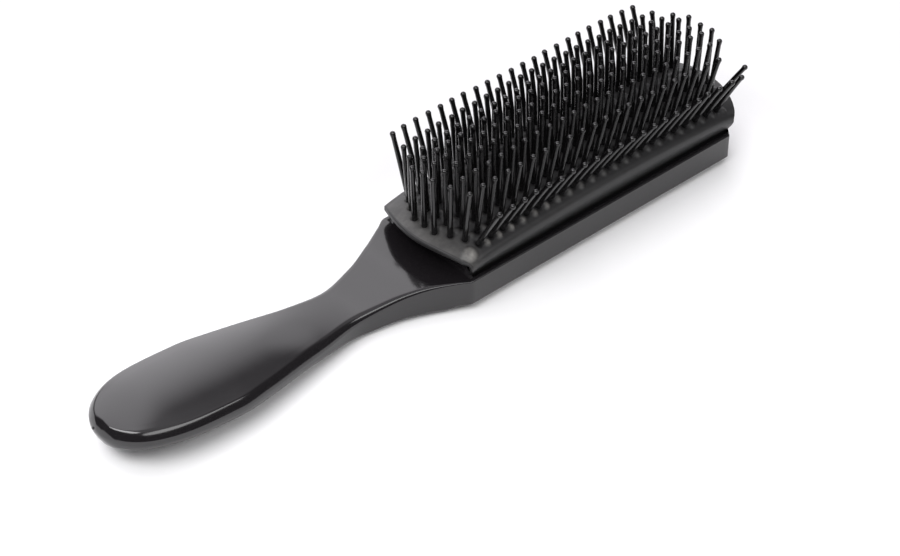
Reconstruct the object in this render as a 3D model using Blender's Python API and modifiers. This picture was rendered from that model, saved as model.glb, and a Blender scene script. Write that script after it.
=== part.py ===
"""A half-round styling brush: a one-piece moulded handle and head, a rubber pad whose side
edges slide into grooves along the head, and nine strips of ball-tipped pins that stand up
through holes in the pad.

The brush lies on its back with the pins up. Lengths are laid out from the shoulder, where
the head's side walls begin (x = 0), and from the top of those walls (z = 0). One empty then
stands the whole brush on z = 0 with its middle over the origin.
"""
import math

import bmesh
import bpy
from mathutils import Matrix, Vector

MM = 0.001

# Handle
HANDLE_LENGTH = 115.8 * MM
GRIP_WIDTH = 32.2 * MM
GRIP_THICKNESS = 10.5 * MM
GRIP_CROWN = 1.85 * MM
NOSE_LENGTH = 23.9 * MM
NECK_WIDTH = 16.7 * MM
NECK_DIP = 2.2 * MM
NECK_BACK_CROWN = 1.1 * MM
SHOULDER_WALL = 9.2 * MM
RAMP_CROWN = 3.4 * MM
STEP_LENGTH = 3.6 * MM

# Head
HEAD_LENGTH = 103.8 * MM
HEAD_WIDTH = 38.6 * MM
WALL_HEIGHT = 7.5 * MM
BACK_DEPTH = 3.0 * MM
BACK_LAND_WIDTH = 14.0 * MM
TIP_BULGE = 6.5 * MM
LIP_EDGE_RADIUS = 0.5 * MM
BACK_EDGE_RADIUS = 0.5 * MM

# Grooves along the head and the bed between them
LIP_THICKNESS = 1.6 * MM
GROOVE_WALL = 1.0 * MM
GROOVE_DEPTH = 3.2 * MM
LIP_DEPTH = 1.4 * MM
BED_HEIGHT = 5.2 * MM
BED_OVERLAP = 1.0 * MM
BED_EXPONENT_SHARE = 3.0

# Rubber pad
PAD_SIDE_INSET = 0.45 * MM
PAD_OVERHANG = 3.4 * MM
PAD_END_BULGE = 5.9 * MM
PAD_THICKNESS = 1.5 * MM
PAD_TOP_SAG = 3.8 * MM
PAD_WIDEST = 5.6 * MM
PAD_WIDEST_SAG = 2.2 * MM
PAD_TURN_HEIGHT = 3.2 * MM
PAD_END_DROOP = 1.1 * MM
PAD_DROOP_START_SHARE = 0.8
PAD_SHOULDER_PULL_SHARE = 0.4
PAD_FIELD_DROP = 2.8 * MM
PAD_FIELD_DROP_SAG = 0.8 * MM
PAD_FIELD_POWER_SHARE = 3
PAD_FOOT_INSET = 1.3 * MM
PAD_FOOT_TOP = 0.4 * MM
PAD_OFFSET = 1.6 * MM

# Pin strips
ROW_Y_SHARES = (0.0, 0.223, 0.44, 0.637, 0.80)
ROW_LEAN_DEG = (0.0, 1.0, 3.0, 9.0, 24.5)
ROW_PINS = (25, 25, 24, 23, 22)
ROW_MARGIN = 4.66 * MM
PIN_LENGTH = 19.2 * MM
PIN_ROOT = 1.35 * MM
PIN_BALL = 1.7 * MM
PIN_TIP_SHARES = ((1.05, 0.58), (0.72, 0.9), (0.28, 0.9), (0.0, 0.42))
BAR_WIDTH = 1.9 * MM
BAR_HEIGHT = 1.4 * MM

# Clearances
CLEARANCE = 0.3 * MM
BAR_CLEARANCE = 0.4 * MM
BED_GAP = 0.7 * MM
HOLE_CLEARANCE = 0.35 * MM
OVERRUN = 4.0 * MM

# Shape of the handle along its length: (share of the handle's length from its end, share)
GRIP_WIDTH_SHARES = ((0.0, 1.0), (0.313, 1.0), (0.414, 0.79), (0.514, 0.508),
                     (0.615, 0.222), (0.715, 0.0), (1.0, 0.0))
HEAD_WIDTH_SHARES = ((0.0, 0.0), (0.715, 0.0), (0.816, 0.163), (0.90, 0.477),
                     (0.9665, 0.822), (1.0, 1.0))
EDGE_HEIGHT_SHARES = ((0.0, 1.5), (0.129, 1.36), (0.213, 0.66), (0.313, 0.26), (0.414, -0.02),
                      (0.514, -0.37), (0.615, -0.85), (0.715, -1.0), (0.816, -0.45),
                      (0.90, 0.05), (0.9665, 0.05), (1.0, 0.0))
SHOULDER_WALL_SHARES = ((0.0, 0.0), (0.615, 0.0), (0.715, 0.15), (0.816, 0.5),
                        (0.90, 0.92), (0.9665, 1.0), (1.0, 1.0))
GRIP_CROWN_SHARES = ((0.0, 1.0), (0.313, 1.0), (0.514, 0.7), (0.615, 0.4), (0.715, 0.12),
                     (0.816, 0.0), (1.0, 0.0))
RAMP_CROWN_SHARES = ((0.0, 0.0), (0.715, 0.0), (0.816, 0.08), (0.90, 0.3),
                     (0.9665, 0.72), (1.0, 1.0))
TOP_ROUNDING_SHARES = ((0.0, 0.96), (0.615, 0.95), (0.715, 0.88), (0.816, 0.72), (0.86, 0.58),
                       (0.90, 0.36), (0.9335, 0.24), (1.0, 0.11))
BACK_ROUNDING_SHARES = ((0.0, 0.96), (0.514, 0.94), (0.615, 0.75), (0.715, 0.35),
                        (0.77, 0.16), (1.0, 0.11))

# Facets
NOSE_START_SHARE = 0.25
SHARP_EDGE_DEG = 35
NOSE_STATIONS = 7
HANDLE_STATIONS = 20
TOP_SEGMENTS = 8
CORNER_SEGMENTS = 4
BACK_SEGMENTS = 4
ARC_SEGMENTS = 14
PAD_SIDE_SEGMENTS = 12
PAD_END_SEGMENTS = 12
SHOULDER_SEGMENTS = 3
FLANK_SEGMENTS = 3
BACK_GROUP = 6

# Derived sizes
HEAD_HALF = HEAD_WIDTH / 2
PAD_HALF = HEAD_HALF - PAD_SIDE_INSET
PAD_SIDE_LENGTH = HEAD_LENGTH + PAD_OVERHANG
PAD_TOP = BED_HEIGHT + BED_GAP + BAR_HEIGHT + BAR_CLEARANCE + PAD_THICKNESS + PAD_TOP_SAG
PIN_PITCH = ((PAD_SIDE_LENGTH + 2 * PAD_END_BULGE - 2 * ROW_MARGIN) / (max(ROW_PINS) - 1))
PAD_MID = HEAD_LENGTH / 2 + PAD_OFFSET
PAD_END_X = PAD_MID + PAD_SIDE_LENGTH / 2 + PAD_END_BULGE
FOOT_OUTER = HEAD_HALF - LIP_THICKNESS - CLEARANCE
BEAD_OUTER = HEAD_HALF - GROOVE_WALL - CLEARANCE
BEAD_SLOPE = BEAD_OUTER - FOOT_OUTER
BEAD_TOP = -LIP_DEPTH - CLEARANCE - BEAD_SLOPE / 2
BEAD_BOTTOM = -GROOVE_DEPTH + CLEARANCE
BED_HALF = FOOT_OUTER - PAD_THICKNESS - 2 * CLEARANCE
FOOT_SIDE_LENGTH = PAD_SIDE_LENGTH - 2 * PAD_FOOT_INSET
GROOVE_START = PAD_MID - FOOT_SIDE_LENGTH / 2 - CLEARANCE
HEAD_END_X = HEAD_LENGTH + TIP_BULGE
LIP_ABOVE_GROUND = WALL_HEIGHT + BACK_DEPTH
BRUSH_MID_X = (PAD_END_X - HANDLE_LENGTH) / 2
ROW_COUNT = 2 * len(ROW_PINS) - 1
FIELD_SHARE = ROW_Y_SHARES[-1]
FIELD_HALF = FIELD_SHARE * PAD_HALF + PIN_ROOT / 2 + HOLE_CLEARANCE + PAD_THICKNESS / 4
HOLE_SIZE = PIN_ROOT + 2 * HOLE_CLEARANCE


def follow(table, share):
    """Read a table of shares with a smooth monotone curve through its points."""
    xs = [point[0] for point in table]
    ys = [point[1] for point in table]
    share = min(max(share, xs[0]), xs[-1])
    last = len(xs) - 2
    i = min(max(sum(1 for x in xs if x <= share) - 1, 0), last)
    slopes = [(ys[k + 1] - ys[k]) / (xs[k + 1] - xs[k]) for k in range(len(xs) - 1)]

    def tangent(k):
        if k == 0 or k == len(xs) - 1 or slopes[k - 1] * slopes[k] <= 0:
            return 0.0
        return 2 * slopes[k - 1] * slopes[k] / (slopes[k - 1] + slopes[k])

    step = xs[i + 1] - xs[i]
    t = (share - xs[i]) / step
    return ((2 * t ** 3 - 3 * t ** 2 + 1) * ys[i] + (t ** 3 - 2 * t ** 2 + t) * step * tangent(i)
            + (3 * t ** 2 - 2 * t ** 3) * ys[i + 1] + (t ** 3 - t ** 2) * step * tangent(i + 1))


def mix(a, b, share):
    return a + (b - a) * share


def arc(centre_y, centre_z, radius, start, end, segments):
    """Points of a round corner in the y-z plane; angles in quarter turns from +y to +z."""
    points = []
    for i in range(segments + 1):
        angle = mix(start, end, i / segments) * math.pi / 2
        points.append((centre_y + radius * math.cos(angle), centre_z + radius * math.sin(angle)))
    return points


def body_section(half, top, bottom, crown, back_crown, land, top_radius, back_radius):
    """One closed section of the handle or head, from the far top edge round to the back."""
    flat = half - top_radius
    outline = []
    for i in range(1, TOP_SEGMENTS):
        y = mix(flat, -flat, i / TOP_SEGMENTS)
        outline.append((y, top + crown * (1 - (y / flat) ** 2)))
    outline += arc(-flat, top - top_radius, top_radius, 1, 2, CORNER_SEGMENTS)
    edge = half - back_radius
    outline += arc(-edge, bottom + back_radius, back_radius, 2, 3, CORNER_SEGMENTS)
    back = []
    for i in range(1, BACK_SEGMENTS + 1):
        t = i / BACK_SEGMENTS
        back.append((mix(edge, land, t), bottom - back_crown * math.sin(t * math.pi / 2)))
    outline += [(-y, z) for y, z in back]
    outline += reversed(back)
    outline += arc(edge, bottom + back_radius, back_radius, 3, 4, CORNER_SEGMENTS)
    outline += arc(flat, top - top_radius, top_radius, 0, 1, CORNER_SEGMENTS)
    return outline


def handle_section(x):
    """Section of the handle at x, which runs from minus its length to zero at the shoulder."""
    from_end = x + HANDLE_LENGTH
    share = from_end / HANDLE_LENGTH
    half = NECK_WIDTH / 2
    half += (GRIP_WIDTH - NECK_WIDTH) / 2 * follow(GRIP_WIDTH_SHARES, share)
    half += (HEAD_WIDTH - NECK_WIDTH) / 2 * follow(HEAD_WIDTH_SHARES, share)
    if from_end < NOSE_LENGTH:
        half *= math.sqrt(1 - (1 - from_end / NOSE_LENGTH) ** 2)
    rim = GRIP_THICKNESS - 2 * GRIP_CROWN
    height = mix(rim, SHOULDER_WALL, follow(SHOULDER_WALL_SHARES, share))
    top = NECK_DIP * follow(EDGE_HEIGHT_SHARES, share)
    grip_crown = GRIP_CROWN * follow(GRIP_CROWN_SHARES, share)
    crown = grip_crown + RAMP_CROWN * follow(RAMP_CROWN_SHARES, share)
    back_crown = max(grip_crown, NECK_BACK_CROWN)
    middle = top - height / 2
    thin = 1.0
    if from_end < GRIP_THICKNESS / 2:
        thin = math.sqrt(1 - (1 - from_end / (GRIP_THICKNESS / 2)) ** 2)
    half_height = height / 2 * thin
    top_radius = min(half_height * follow(TOP_ROUNDING_SHARES, share), half / 2)
    back_radius = min(half_height * follow(BACK_ROUNDING_SHARES, share), half / 2)
    land = half * BACK_LAND_WIDTH / (4 * HEAD_HALF)
    return body_section(half, middle + half_height, middle - half_height, crown * thin,
                        back_crown * thin, land, top_radius, back_radius)


def head_section():
    return body_section(HEAD_HALF, 0, -WALL_HEIGHT, 0, BACK_DEPTH, BACK_LAND_WIDTH / 2,
                        LIP_EDGE_RADIUS, BACK_EDGE_RADIUS)


def loft(name, sections):
    """Skin a row of (x, outline) sections and close both ends."""
    bm = bmesh.new()
    rings = []
    for x, outline in sections:
        rings.append([bm.verts.new((x, y, z)) for y, z in outline])
    for ring, following in zip(rings, rings[1:]):
        for i in range(len(ring)):
            j = (i + 1) % len(ring)
            bm.faces.new((ring[i], ring[j], following[j], following[i]))
    bm.faces.new(rings[0])
    bm.faces.new(rings[-1])
    return finish_mesh(name, bm)


def prism(name, outline, direction, axis):
    """Extrude one flat outline of (a, b) points: along x from a y-z one, or z from an x-y one."""
    bm = bmesh.new()
    if axis == 'X':
        verts = [bm.verts.new((0, a, b)) for a, b in outline]
    else:
        verts = [bm.verts.new((a, b, 0)) for a, b in outline]
    face = bm.faces.new(verts)
    extruded = bmesh.ops.extrude_face_region(bm, geom=[face])
    moved = [item for item in extruded['geom'] if isinstance(item, bmesh.types.BMVert)]
    bmesh.ops.translate(bm, verts=moved, vec=direction)
    return finish_mesh(name, bm)


def finish_mesh(name, bm):
    bmesh.ops.recalc_face_normals(bm, faces=bm.faces)
    mesh = bpy.data.meshes.new(name)
    bm.to_mesh(mesh)
    bm.free()
    return bpy.data.objects.new(name, mesh)


def make_material(name, colour, roughness):
    material = bpy.data.materials.new(name)
    material.use_nodes = True
    shader = material.node_tree.nodes['Principled BSDF']
    shader.inputs['Base Color'].default_value = (*colour, 1.0)
    shader.inputs['Roughness'].default_value = roughness
    shader.inputs['Metallic'].default_value = 0.0
    return material


def make_handle():
    """Handle and head as one moulding, with its bed and its two undercut grooves."""
    xs = []
    for i in range(NOSE_STATIONS):
        angle = mix(0, math.pi / 2, (i + NOSE_START_SHARE) / NOSE_STATIONS)
        xs.append(-HANDLE_LENGTH + NOSE_LENGTH * (1 - math.cos(angle)))
    grip = HANDLE_LENGTH - NOSE_LENGTH
    xs += [mix(-grip, -STEP_LENGTH, i / HANDLE_STATIONS) for i in range(HANDLE_STATIONS + 1)]
    sections = [(x, handle_section(x)) for x in xs]
    sections.append((0, head_section()))
    sections.append((HEAD_END_X + OVERRUN, head_section()))
    body = loft('handle', sections)

    cut(body, 'UNION', bed_solid())
    for side in (-1, 1):
        cut(body, 'DIFFERENCE', groove_cutter(side))
    cut(body, 'DIFFERENCE', tip_cutter())
    return body


def bed_solid():
    """Rounded bed under the pins, the same section all along so that the pad can slide."""
    half = BED_HALF + CLEARANCE
    outline = [(half, -WALL_HEIGHT / 2)]
    for i in range(ARC_SEGMENTS + 1):
        y = half * math.cos(mix(0, math.pi, i / ARC_SEGMENTS))
        rise = max(1 - abs(y / half) ** BED_EXPONENT_SHARE, 0) ** (1 / BED_EXPONENT_SHARE)
        outline.append((y, BED_HEIGHT * rise))
    outline.append((-half, -WALL_HEIGHT / 2))
    bed = prism('cut_bed', outline, (HEAD_END_X + OVERRUN, 0, 0), 'X')
    bed.location.x = -BED_OVERLAP
    return bed


def groove_cutter(side):
    """Undercut groove: a slot beside the lip that widens below it under the wall."""
    slot_outer = HEAD_HALF - LIP_THICKNESS
    under_outer = HEAD_HALF - GROOVE_WALL
    outline = [(BED_HALF, BED_HEIGHT), (slot_outer, BED_HEIGHT), (slot_outer, -LIP_DEPTH),
               (under_outer, -LIP_DEPTH), (under_outer, -GROOVE_DEPTH), (BED_HALF, -GROOVE_DEPTH)]
    outline = [(side * y, z) for y, z in outline]
    cutter = prism('cut_groove', outline, (HEAD_END_X + 2 * OVERRUN, 0, 0), 'X')
    cutter.location.x = GROOVE_START
    return cutter


def tip_cutter():
    """Trims the end of the head to the arc that it has in plan."""
    reach = HEAD_HALF + OVERRUN
    radius = (HEAD_HALF ** 2 + TIP_BULGE ** 2) / (2 * TIP_BULGE)
    centre = HEAD_END_X - radius
    outline = []
    for i in range(ARC_SEGMENTS + 1):
        y = mix(-reach, reach, i / ARC_SEGMENTS)
        outline.append((centre + math.sqrt(radius ** 2 - y ** 2), y))
    far_x = HEAD_END_X + 3 * OVERRUN
    outline += [(far_x, reach), (far_x, -reach)]
    height = WALL_HEIGHT + BACK_DEPTH + BED_HEIGHT + 2 * OVERRUN
    cutter = prism('cut_tip', outline, (0, 0, height), 'Z')
    cutter.location.z = -WALL_HEIGHT - BACK_DEPTH - OVERRUN
    return cutter


def crown_share(x):
    """0 at the pad's mid-length, 1 at the middle of its rounded ends."""
    return ((x - PAD_MID) / (PAD_SIDE_LENGTH / 2 + PAD_END_BULGE)) ** 2


def end_droop(x, y):
    """How far the pad's rounded ends curl down towards their edge."""
    share = abs(x - PAD_MID) / pad_end(y)
    curl = max(share - PAD_DROOP_START_SHARE, 0) / (1 - PAD_DROOP_START_SHARE)
    return PAD_END_DROOP * curl ** 2


def field_height(x, y):
    """Outer surface of the pad over the pins: crowned along, falling away to both sides."""
    sag = crown_share(x)
    drop = PAD_FIELD_DROP - PAD_FIELD_DROP_SAG * sag
    row_y = FIELD_SHARE * PAD_HALF
    fall = drop * abs(y / row_y) ** PAD_FIELD_POWER_SHARE
    return PAD_TOP - PAD_TOP_SAG * sag - fall - end_droop(x, y)


def field_slope(x, y):
    """How steeply the pad falls away at y, as a positive rise over run."""
    drop = PAD_FIELD_DROP - PAD_FIELD_DROP_SAG * crown_share(x)
    row_y = FIELD_SHARE * PAD_HALF
    power = PAD_FIELD_POWER_SHARE
    return power * drop * abs(y / row_y) ** (power - 1) / row_y


def widest_height(x):
    """Height of the line along which the pad stands out furthest to the side."""
    return PAD_WIDEST - PAD_WIDEST_SAG * crown_share(x) - end_droop(x, PAD_HALF)


def shoulder_point(x, t):
    """Rounded shoulder of the pad, from the edge of the field (t = 0) to its widest line."""
    slope = field_slope(x, FIELD_HALF)
    start = Vector((FIELD_HALF, field_height(x, FIELD_HALF)))
    end = Vector((PAD_HALF, widest_height(x)))
    pull = (end - start).length * PAD_SHOULDER_PULL_SHARE
    first = start + Vector((1, -slope)).normalized() * pull
    second = end + Vector((0, pull))
    u = 1 - t
    return u ** 3 * start + 3 * u * u * t * first + 3 * u * t * t * second + t ** 3 * end


def flank_rings():
    """Rings below the field on each side: a function of x for (y, z), and the half length."""
    side_half = PAD_SIDE_LENGTH / 2
    foot_half = FOOT_SIDE_LENGTH / 2
    rings = []
    for i in range(1, SHOULDER_SEGMENTS + 1):
        t = i / SHOULDER_SEGMENTS
        rings.append((lambda x, t=t: shoulder_point(x, t), side_half))
    for i in range(1, FLANK_SEGMENTS + 1):
        t = i / FLANK_SEGMENTS

        def flank(x, t=t):
            widest = widest_height(x)
            z = mix(widest, PAD_FOOT_TOP, t)
            turned = min((widest - z) / min(PAD_TURN_HEIGHT, widest - PAD_FOOT_TOP), 1)
            return Vector((mix(FOOT_OUTER, PAD_HALF, (1 + math.cos(math.pi * turned)) / 2), z))

        rings.append((flank, mix(side_half, foot_half, t)))
    for y, z in ((FOOT_OUTER, BEAD_TOP + BEAD_SLOPE / 2), (BEAD_OUTER, BEAD_TOP - BEAD_SLOPE / 2),
                 (BEAD_OUTER, BEAD_BOTTOM)):
        rings.append((lambda x, y=y, z=z: Vector((y, z)), foot_half))
    return rings


def pad_end(y):
    """Half length of the pad at y: its ends are round in plan."""
    return PAD_SIDE_LENGTH / 2 + PAD_END_BULGE * (1 - (y / PAD_HALF) ** 2)


def row_list():
    """(name, y, lean, pins) of the nine rows, from the near side to the far side."""
    rows = []
    outermost = len(ROW_PINS) - 1
    for i in range(ROW_COUNT):
        away = abs(i - outermost)
        side = -1 if i < outermost else 1
        rows.append((f'pin_strip_{i + 1}', side * ROW_Y_SHARES[away] * PAD_HALF,
                     side * math.radians(ROW_LEAN_DEG[away]), ROW_PINS[away]))
    return rows


def pin_places(count):
    return [(i - (count - 1) / 2) * PIN_PITCH for i in range(count)]


def add_loop(bm, corners):
    verts = [bm.verts.new((x, y, 0)) for x, y in corners]
    return [bm.edges.new((verts[i], verts[(i + 1) % len(verts)])) for i in range(len(verts))]


def make_pad():
    """Rubber pad: a sheet pierced for every pin, bent over the bed and thickened inwards."""
    bm = bmesh.new()
    half_here = pad_end(FIELD_HALF)
    outline = []
    for side in (-1, 1):
        for i in range(PAD_SIDE_SEGMENTS):
            outline.append((side * mix(-half_here, half_here, i / PAD_SIDE_SEGMENTS),
                            side * FIELD_HALF))
        for i in range(PAD_END_SEGMENTS):
            y = side * mix(FIELD_HALF, -FIELD_HALF, i / PAD_END_SEGMENTS)
            outline.append((side * pad_end(y), y))
    edges = add_loop(bm, [(x + PAD_MID, y) for x, y in outline])
    for _, row_y, _, count in row_list():
        half_x = HOLE_SIZE / 2
        half_y = HOLE_SIZE / 2 * math.cos(math.atan(field_slope(PAD_MID, row_y)))
        for place in pin_places(count):
            x = PAD_MID + place
            edges += add_loop(bm, [(x - half_x, row_y - half_y), (x + half_x, row_y - half_y),
                                   (x + half_x, row_y + half_y), (x - half_x, row_y + half_y)])
    bmesh.ops.triangle_fill(bm, edges=edges, use_beauty=True, normal=(0, 0, 1))
    bmesh.ops.recalc_face_normals(bm, faces=bm.faces)

    sides = {}
    for side in (-1, 1):
        line = [edge for edge in bm.edges if edge.is_boundary
                and all(abs(vert.co.y - side * FIELD_HALF) < CLEARANCE / 10 for vert in edge.verts)]
        sides[side] = line
    for vert in bm.verts:
        vert.co.z = field_height(vert.co.x, vert.co.y)
    for side, line in sides.items():
        for ring, half_length in flank_rings():
            grown = bmesh.ops.extrude_edge_only(bm, edges=line)['geom']
            verts = [item for item in grown if isinstance(item, bmesh.types.BMVert)]
            line = [item for item in grown if isinstance(item, bmesh.types.BMEdge)
                    and all(vert in verts for vert in item.verts)]
            reach = max(abs(vert.co.x - PAD_MID) for vert in verts)
            for vert in verts:
                x = PAD_MID + (vert.co.x - PAD_MID) * half_length / reach
                y, z = ring(x)
                vert.co = (x, side * y, z)
    bmesh.ops.recalc_face_normals(bm, faces=bm.faces)
    top = max(bm.faces, key=lambda face: face.calc_center_median().z)
    if top.normal.z < 0:
        bmesh.ops.reverse_faces(bm, faces=bm.faces)
    mesh = bpy.data.meshes.new('rubber_pad')
    bm.to_mesh(mesh)
    bm.free()
    pad = bpy.data.objects.new('rubber_pad', mesh)
    thicken = pad.modifiers.new('thickness', 'SOLIDIFY')
    thicken.thickness = PAD_THICKNESS
    thicken.offset = -1
    thicken.use_even_offset = True
    return pad


def make_strip(name, row_y, lean, count):
    """One strip: a slim bar under the pad and its row of ball-tipped pins, in one moulding.

    The strip's own z axis runs along its pins, and its origin lies on the line about which
    the row rocks in the rubber, half way through the pad.
    """
    tilt = math.copysign(math.atan(field_slope(PAD_MID, row_y)), row_y)
    axis_y = row_y - PAD_THICKNESS / 2 * math.sin(tilt)
    axis_z = field_height(PAD_MID, row_y) - PAD_THICKNESS / 2 * math.cos(tilt)
    turn = Matrix.Rotation(-lean, 3, 'X')

    def crown(place):
        return field_height(PAD_MID + place, row_y) - field_height(PAD_MID, row_y)

    def place_point(place, y, z):
        return Vector((place, y, z)) + turn.inverted() @ Vector((0, 0, crown(place)))

    places = pin_places(count)
    bar_top = -PAD_THICKNESS / 2 - BAR_CLEARANCE
    stations = []
    for place in places:
        stations += [place - PIN_ROOT / 2, place + PIN_ROOT / 2]
    bm = bmesh.new()
    corners = [(-BAR_WIDTH / 2, bar_top - BAR_HEIGHT), (BAR_WIDTH / 2, bar_top - BAR_HEIGHT),
               (PIN_ROOT / 2, bar_top), (-PIN_ROOT / 2, bar_top)]
    verts = [bm.verts.new(place_point(stations[0], y, z)) for y, z in corners]
    back_lines = [[verts[0]], [verts[1]]]
    face = bm.faces.new(verts)
    for before, after in zip(stations, stations[1:]):
        grown = bmesh.ops.extrude_face_region(bm, geom=[face])['geom']
        if before != stations[0]:
            bmesh.ops.delete(bm, geom=[face], context='FACES_ONLY')
        face = next(item for item in grown if isinstance(item, bmesh.types.BMFace))
        step = place_point(after, 0, 0) - place_point(before, 0, 0)
        bmesh.ops.translate(bm, verts=list(face.verts), vec=step)
        centre = face.calc_center_median()
        low = sorted(face.verts, key=lambda vert: vert.co.z)[:2]
        for vert in low:
            back_lines[0 if vert.co.y < centre.y else 1].append(vert)
    bm.normal_update()
    bmesh.ops.recalc_face_normals(bm, faces=bm.faces)

    tip = PAD_THICKNESS / 2 + PIN_LENGTH
    levels = [(tip - PIN_BALL * share, width_share) for share, width_share in PIN_TIP_SHARES]
    upward = [item for item in bm.faces if item.normal.z > abs(item.normal.y)]
    tops = {place: min(upward, key=lambda item: abs(item.calc_center_median().x - place))
            for place in places}
    for height, width_share in levels:
        faces = list(tops.values())
        grown = bmesh.ops.extrude_discrete_faces(bm, faces=faces)['faces']
        for item in grown:
            centre = item.calc_center_median()
            place = min(places, key=lambda value: abs(value - centre.x))
            target = place_point(place, 0, height)
            for vert in item.verts:
                side_x = 1 if vert.co.x > centre.x else -1
                side_y = 1 if vert.co.y > centre.y else -1
                vert.co = target + Vector((side_x, side_y, 0)) * PIN_BALL * width_share / 2
            tops[place] = item
    for line in back_lines:
        thin_line(bm, line)
    strip = finish_mesh(name, bm)
    strip.location = (PAD_MID, axis_y, axis_z)
    strip.rotation_euler.x = -lean
    return strip


def thin_line(bm, line):
    """Weld the corners along one hidden edge of the bar in groups, which saves facets."""
    anchors = list(range(0, len(line) - BACK_GROUP // 2, BACK_GROUP)) + [len(line) - 1]
    target = {}
    for i, vert in enumerate(line):
        nearest = min(anchors, key=lambda anchor: abs(anchor - i))
        if nearest != i:
            target[vert] = line[nearest]
    bmesh.ops.weld_verts(bm, targetmap=target)


def cut(body, operation, tool):
    """Keep the tool in the cutters' collection and apply it to the body as a Boolean."""
    tool.hide_render = True
    tool.display_type = 'WIRE'
    tool.parent = stand
    cutters.objects.link(tool)
    boolean = body.modifiers.new(tool.name, 'BOOLEAN')
    boolean.operation = operation
    boolean.object = tool
    boolean.solver = 'EXACT'


def add_part(obj, material):
    obj.data.materials.append(material)
    obj.parent = stand
    parts.objects.link(obj)
    obj.data.shade_smooth()
    obj.data.set_sharp_from_angle(angle=math.radians(SHARP_EDGE_DEG))


for old in list(bpy.data.objects):
    bpy.data.objects.remove(old)
parts = bpy.data.collections.new('styling_brush')
cutters = bpy.data.collections.new('cutters')
bpy.context.scene.collection.children.link(parts)
bpy.context.scene.collection.children.link(cutters)

stand = bpy.data.objects.new('stand', None)
stand.location = (-BRUSH_MID_X, 0, LIP_ABOVE_GROUND)
parts.objects.link(stand)

black_abs = make_material('gloss_black_abs', (0.012, 0.012, 0.013), 0.12)
black_rubber = make_material('black_rubber', (0.030, 0.032, 0.031), 0.65)
black_nylon = make_material('black_nylon', (0.014, 0.014, 0.015), 0.32)

add_part(make_handle(), black_abs)
add_part(make_pad(), black_rubber)
for strip_name, strip_y, strip_lean, strip_pins in row_list():
    add_part(make_strip(strip_name, strip_y, strip_lean, strip_pins), black_nylon)
bpy.context.view_layer.update()
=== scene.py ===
"""A black styling brush with a rubber pad and nine rows of ball-tipped pins, on a pale table.

Shapes are laid out from the shoulder, where the side walls of the head begin (x = 0), and from
the top of those walls (z = 0). The function at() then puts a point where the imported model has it.
"""
import math
import random

import bmesh
import bpy
import numpy as np
from mathutils import Matrix, Vector


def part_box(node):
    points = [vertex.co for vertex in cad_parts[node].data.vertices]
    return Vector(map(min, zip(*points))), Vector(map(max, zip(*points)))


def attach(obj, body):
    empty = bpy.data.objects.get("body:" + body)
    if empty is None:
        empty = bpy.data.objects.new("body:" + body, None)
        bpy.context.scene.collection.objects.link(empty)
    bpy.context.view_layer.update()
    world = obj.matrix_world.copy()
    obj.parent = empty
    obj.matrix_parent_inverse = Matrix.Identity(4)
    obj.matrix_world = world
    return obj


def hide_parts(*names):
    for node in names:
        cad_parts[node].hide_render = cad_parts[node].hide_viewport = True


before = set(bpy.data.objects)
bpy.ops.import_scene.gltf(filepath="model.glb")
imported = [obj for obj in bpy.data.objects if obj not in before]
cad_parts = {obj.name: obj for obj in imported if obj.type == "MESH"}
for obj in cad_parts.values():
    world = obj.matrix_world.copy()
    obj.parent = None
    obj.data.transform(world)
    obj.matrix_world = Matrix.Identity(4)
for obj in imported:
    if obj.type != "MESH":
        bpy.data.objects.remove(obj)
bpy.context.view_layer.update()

MM = 0.001
# Too short to see: a step along a curve, and the least width of one
HAIR = 0.1 * MM

# Handle and head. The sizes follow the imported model, but for a nose that is drawn out longer and
# a side wall 0.8 mm deeper, as in the photograph, over a back that is as much flatter
HANDLE_LENGTH = 115.8 * MM
GRIP_WIDTH = 32.2 * MM
GRIP_THICKNESS = 10.5 * MM
GRIP_CROWN = 1.85 * MM
NOSE_LENGTH = 32.5 * MM
NECK_WIDTH = 16.7 * MM
NECK_DIP = 2.2 * MM
NECK_BACK_CROWN = 1.1 * MM
SHOULDER_WALL = 9.2 * MM
STEP_LENGTH = 3.6 * MM
STEP_START = -7.4 * MM
STEP_END = -3.2 * MM
HEAD_LENGTH = 103.8 * MM
HEAD_HALF = 19.3 * MM
WALL_HEIGHT = 8.3 * MM
BACK_DEPTH = 2.2 * MM
BACK_LAND = 7.0 * MM
TIP_BULGE = 6.5 * MM
TIP_RING_BACK = 2.0 * MM
LIP_RADIUS = 0.5 * MM
BACK_RADIUS = 0.5 * MM
LIP_THICKNESS = 1.6 * MM
GROOVE_WALL = 1.0 * MM
GROOVE_DEPTH = 3.2 * MM
LIP_DEPTH = 1.4 * MM
GROOVE_START = 0.9 * MM
BED_HALF = 15.3 * MM
BED_ROUND_HALF = 15.6 * MM
BED_HEIGHT = 5.2 * MM

# Fine forms of the moulding, which show in its gloss
NOSE_ROUNDING = 2.2 * MM
END_RADIUS = 0.4 * MM
LIP_INNER_RADIUS = 0.25 * MM
PARTING_RIDGE = 0.08 * MM
GATE_RADIUS = 0.45 * MM
GATE_TAPER_SHARE = 0.8
GATE_DEPTH = 0.5 * MM
GATE_TILT = math.radians(75)
GATE_OFFSET = 2.3 * MM

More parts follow.
